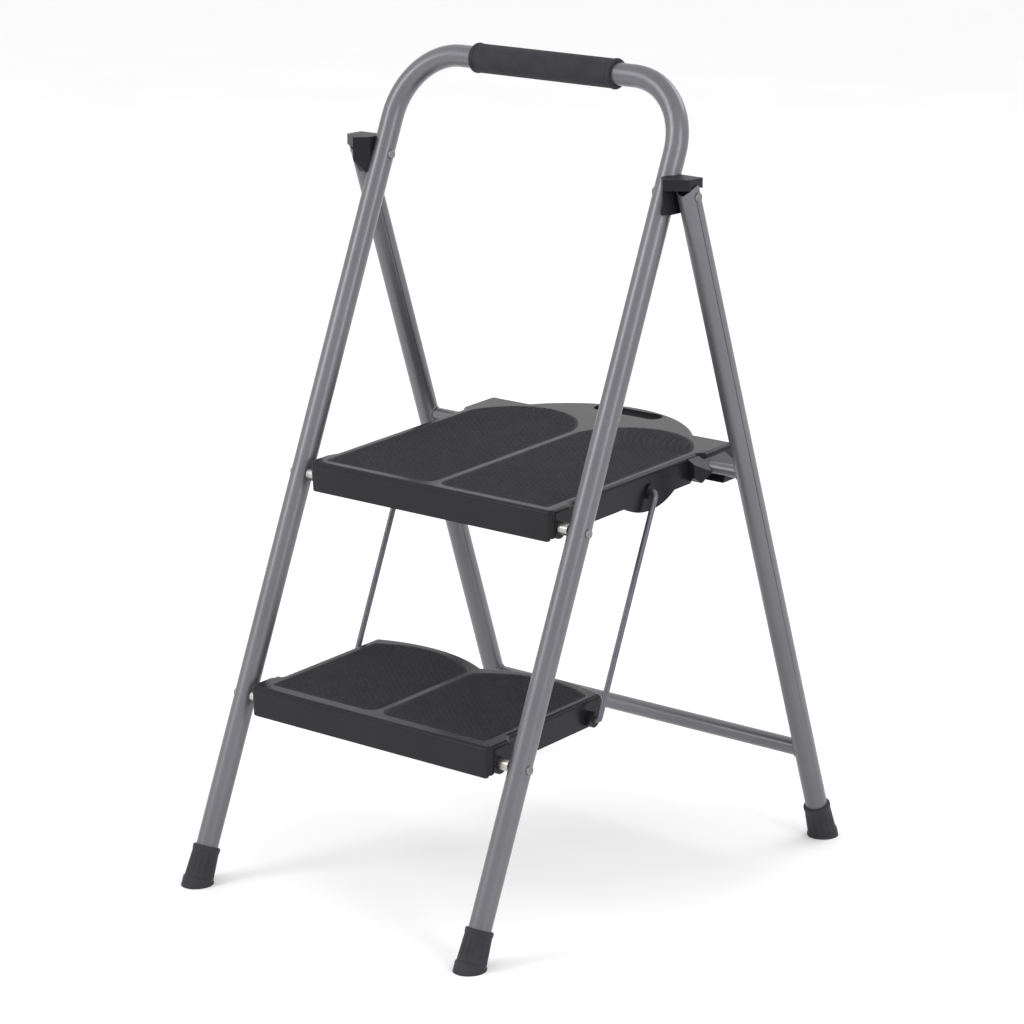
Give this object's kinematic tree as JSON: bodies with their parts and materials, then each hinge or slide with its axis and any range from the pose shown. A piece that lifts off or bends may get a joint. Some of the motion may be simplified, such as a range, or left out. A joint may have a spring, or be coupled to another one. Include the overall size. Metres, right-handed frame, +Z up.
{
  "type": "folding step stool",
  "caption": "Folding tubular steel step stool with moulded non-slip steps, a hand rail with grip, a hinged rear frame, link rods and rubber feet.",
  "frame": {"origin": "on the floor, midway between the four feet", "axes": "+X to the right of a person facing the steps, +Y towards the rear frame, +Z up"},
  "size_m": [0.5032, 0.6236, 0.912],
  "materials": {
    "frame_paint": "satin metallic grey enamel",
    "foot_rubber": "moulded matt rubber",
    "grip_rubber": "closed-cell rubber sleeve",
    "bracket_plastic": "moulded black plastic",
    "step_plastic": "fine spark-textured dark grey plastic",
    "tread_rubber": "ribbed non-slip rubber",
    "bright_steel": "zinc-plated steel",
    "dull_steel": "grey passivated steel",
    "rod_steel": "grey coated steel rod"
  },
  "bodies": {
    "front_frame": {"front_frame_tube": "frame_paint", "hand_grip": "grip_rubber", "front_foot_left": "foot_rubber", "front_foot_right": "foot_rubber", "hinge_bracket_left": "bracket_plastic", "hinge_bracket_right": "bracket_plastic", "hinge_rivets": "dull_steel", "step_rivets": "dull_steel", "step_spacers": "bright_steel"},
    "rear_frame": {"rear_leg_left": "frame_paint", "rear_leg_right": "frame_paint", "rear_lower_brace": "frame_paint", "rear_upper_cross_rod": "frame_paint", "rear_foot_left": "foot_rubber", "rear_foot_right": "foot_rubber"},
    "top_step": {"top_step_shell": "step_plastic", "top_step_tread_left": "tread_rubber", "top_step_tread_right": "tread_rubber"},
    "lower_step": {"lower_step_shell": "step_plastic", "lower_step_tread_left": "tread_rubber", "lower_step_tread_right": "tread_rubber"},
    "link_rods": {"link_rod_left": "rod_steel", "link_rod_right": "rod_steel", "rod_retainers": "bright_steel"}
  },
  "joints": [
    {"name": "rear_frame_fold", "type": "hinge", "parent": "front_frame", "child": "rear_frame", "pos_m": [0, 0.02511, 0.7834], "axis": [-1, 0, 0], "range_deg": [0, 35.8]},
    {"name": "top_step_fold", "type": "hinge", "parent": "front_frame", "child": "top_step", "pos_m": [0, -0.11454, 0.4395], "axis": [1, 0, 0], "range_deg": [0, 58.5]},
    {"name": "lower_step_fold", "type": "hinge", "parent": "front_frame", "child": "lower_step", "pos_m": [0, -0.21098, 0.202], "axis": [1, 0, 0], "range_deg": [0, 58.5]},
    {"name": "link_rod_swing", "type": "hinge", "parent": "top_step", "child": "link_rods", "pos_m": [0, 0.0429, 0.44858], "axis": [1, 0, 0], "range_deg": [-58.5, 0]}
  ],
  "couplings": [
    {"joint": "top_step_fold", "follows": "rear_frame_fold", "ratio": 1.6201},
    {"joint": "lower_step_fold", "follows": "rear_frame_fold", "ratio": 1.6201},
    {"joint": "link_rod_swing", "follows": "rear_frame_fold", "ratio": -1.6201}
  ]
}
